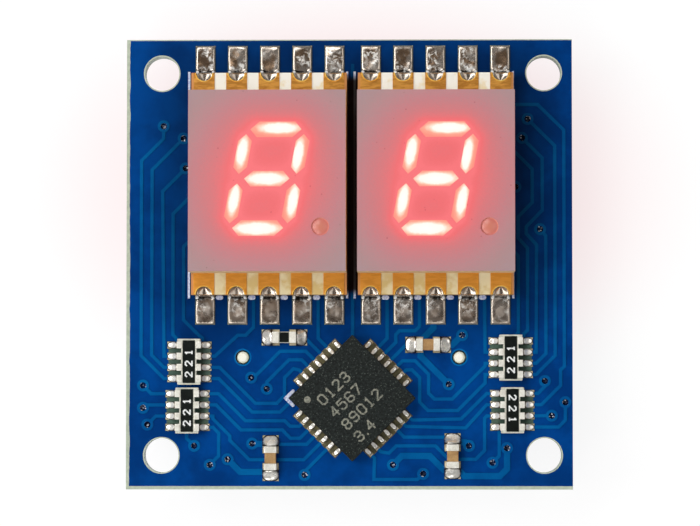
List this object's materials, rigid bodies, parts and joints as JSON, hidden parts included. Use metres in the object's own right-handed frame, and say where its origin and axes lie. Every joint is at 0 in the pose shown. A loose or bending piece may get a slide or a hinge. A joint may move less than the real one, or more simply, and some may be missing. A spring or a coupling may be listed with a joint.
{
  "type": "seven segment display module",
  "caption": "Small square circuit board with two lit seven segment digits, a driver chip and its passives on top, and a board connector below.",
  "frame": {"origin": "middle of the four mounting holes, on the board's underside", "axes": "+X to the right as the digits are read, +Y towards the digits' tops, +Z out of the face that carries the digits"},
  "size_m": [0.02, 0.0202, 0.0069],
  "materials": {
    "board": "glossy blue mask over glass laminate",
    "masked_copper": "copper under blue mask",
    "pad_finish": "thin gold finish on copper",
    "ink": "white legend ink",
    "laminate": "cream bare laminate",
    "gold": "gold plating",
    "housing": "moulded grey white housing",
    "die": "light die",
    "solder": "bright solder",
    "lit_resin": "clear resin, lit from below",
    "point_resin": "diffusing resin, unlit",
    "mould_compound": "black epoxy moulding",
    "tin": "tinned metal",
    "ceramic_white": "white alumina",
    "overcoat": "black overcoat glass",
    "ceramic_tan": "tan capacitor ceramic",
    "connector_plastic": "cream moulded plastic"
  },
  "bodies": {
    "root": {"circuit_board": "board", "copper_traces": "masked_copper", "vias": "masked_copper", "bare_pads": "pad_finish", "legend_marks": "ink", "left_substrate": "laminate", "left_terminals": "gold", "left_housing": "housing", "left_led_dice": "die", "left_solder": "solder", "right_substrate": "laminate", "right_terminals": "gold", "right_housing": "housing", "right_led_dice": "die", "right_solder": "solder", "left_segment_a": "lit_resin", "left_segment_b": "lit_resin", "left_segment_c": "lit_resin", "left_segment_d": "lit_resin", "left_segment_e": "lit_resin", "left_segment_f": "lit_resin", "left_segment_g": "lit_resin", "right_segment_a": "lit_resin", "right_segment_b": "lit_resin", "right_segment_c": "lit_resin", "right_segment_d": "lit_resin", "right_segment_e": "lit_resin", "right_segment_f": "lit_resin", "right_segment_g": "lit_resin", "left_decimal_point": "point_resin", "right_decimal_point": "point_resin", "driver_body": "mould_compound", "driver_terminals": "tin", "driver_thermal_pad": "tin", "driver_solder": "solder", "resistor_array_1_body": "ceramic_white", "resistor_array_1_overcoat": "overcoat", "resistor_array_1_terminals": "tin", "resistor_array_2_body": "ceramic_white", "resistor_array_2_overcoat": "overcoat", "resistor_array_2_terminals": "tin", "resistor_array_3_body": "ceramic_white", "resistor_array_3_overcoat": "overcoat", "resistor_array_3_terminals": "tin", "resistor_array_4_body": "ceramic_white", "resistor_array_4_overcoat": "overcoat", "resistor_array_4_terminals": "tin", "array_solder": "solder", "chip_resistor_body": "ceramic_white", "chip_resistor_overcoat": "overcoat", "chip_resistor_terminations": "tin", "capacitor_1_body": "ceramic_tan", "capacitor_1_end_caps": "tin", "capacitor_2_body": "ceramic_tan", "capacitor_2_end_caps": "tin", "capacitor_3_body": "ceramic_tan", "capacitor_3_end_caps": "tin", "passive_solder": "solder", "connector_housing": "connector_plastic", "connector_contacts": "gold"}
  },
  "joints": []
}
